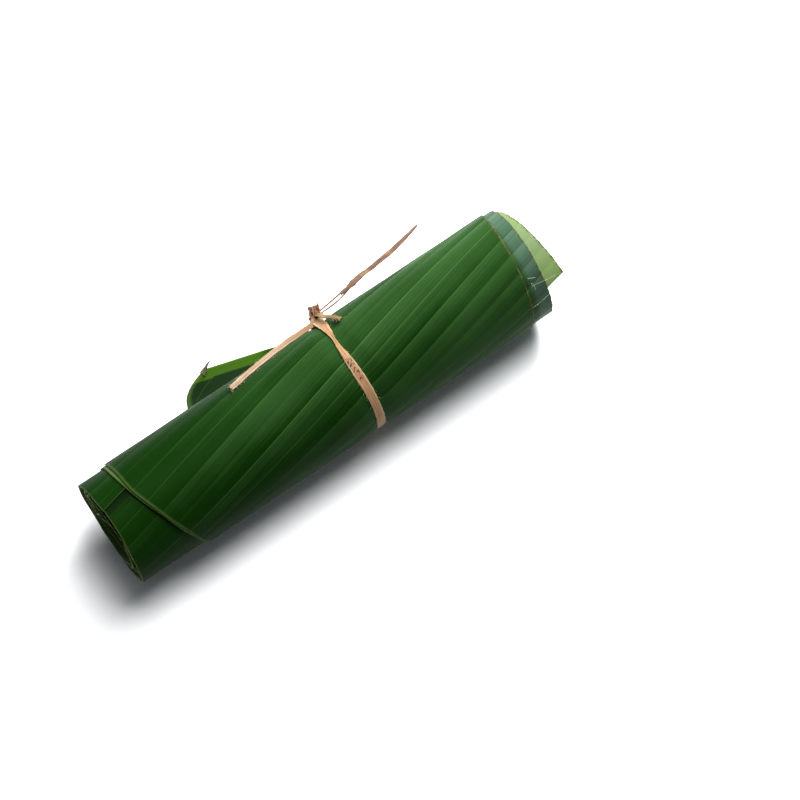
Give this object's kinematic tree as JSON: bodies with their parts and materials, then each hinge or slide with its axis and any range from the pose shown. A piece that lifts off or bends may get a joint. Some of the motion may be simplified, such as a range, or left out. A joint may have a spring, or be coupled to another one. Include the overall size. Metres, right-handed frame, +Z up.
{
  "type": "rolled banana leaf",
  "caption": "Cut blades of fresh green banana leaf rolled up together and tied round the middle with a strip of dried leaf.",
  "frame": {"origin": "on the surface that the roll lies on, under the middle of its bounding box", "axes": "+X along the roll towards its stalk-side cut end, +Y towards the loose end that springs away from the roll, +Z up"},
  "size_m": [0.312, 0.0961, 0.0731],
  "materials": {
    "leaf_green": "fresh waxy leaf blade with fine parallel veins, paler on its underside",
    "dried_strip": "dried plant fibre, matte, with dark spots and frayed edges"
  },
  "bodies": {
    "root": {"leaf_outer": "leaf_green", "leaf_second": "leaf_green", "leaf_third": "leaf_green", "leaf_fourth": "leaf_green", "tie": "dried_strip"}
  },
  "joints": []
}
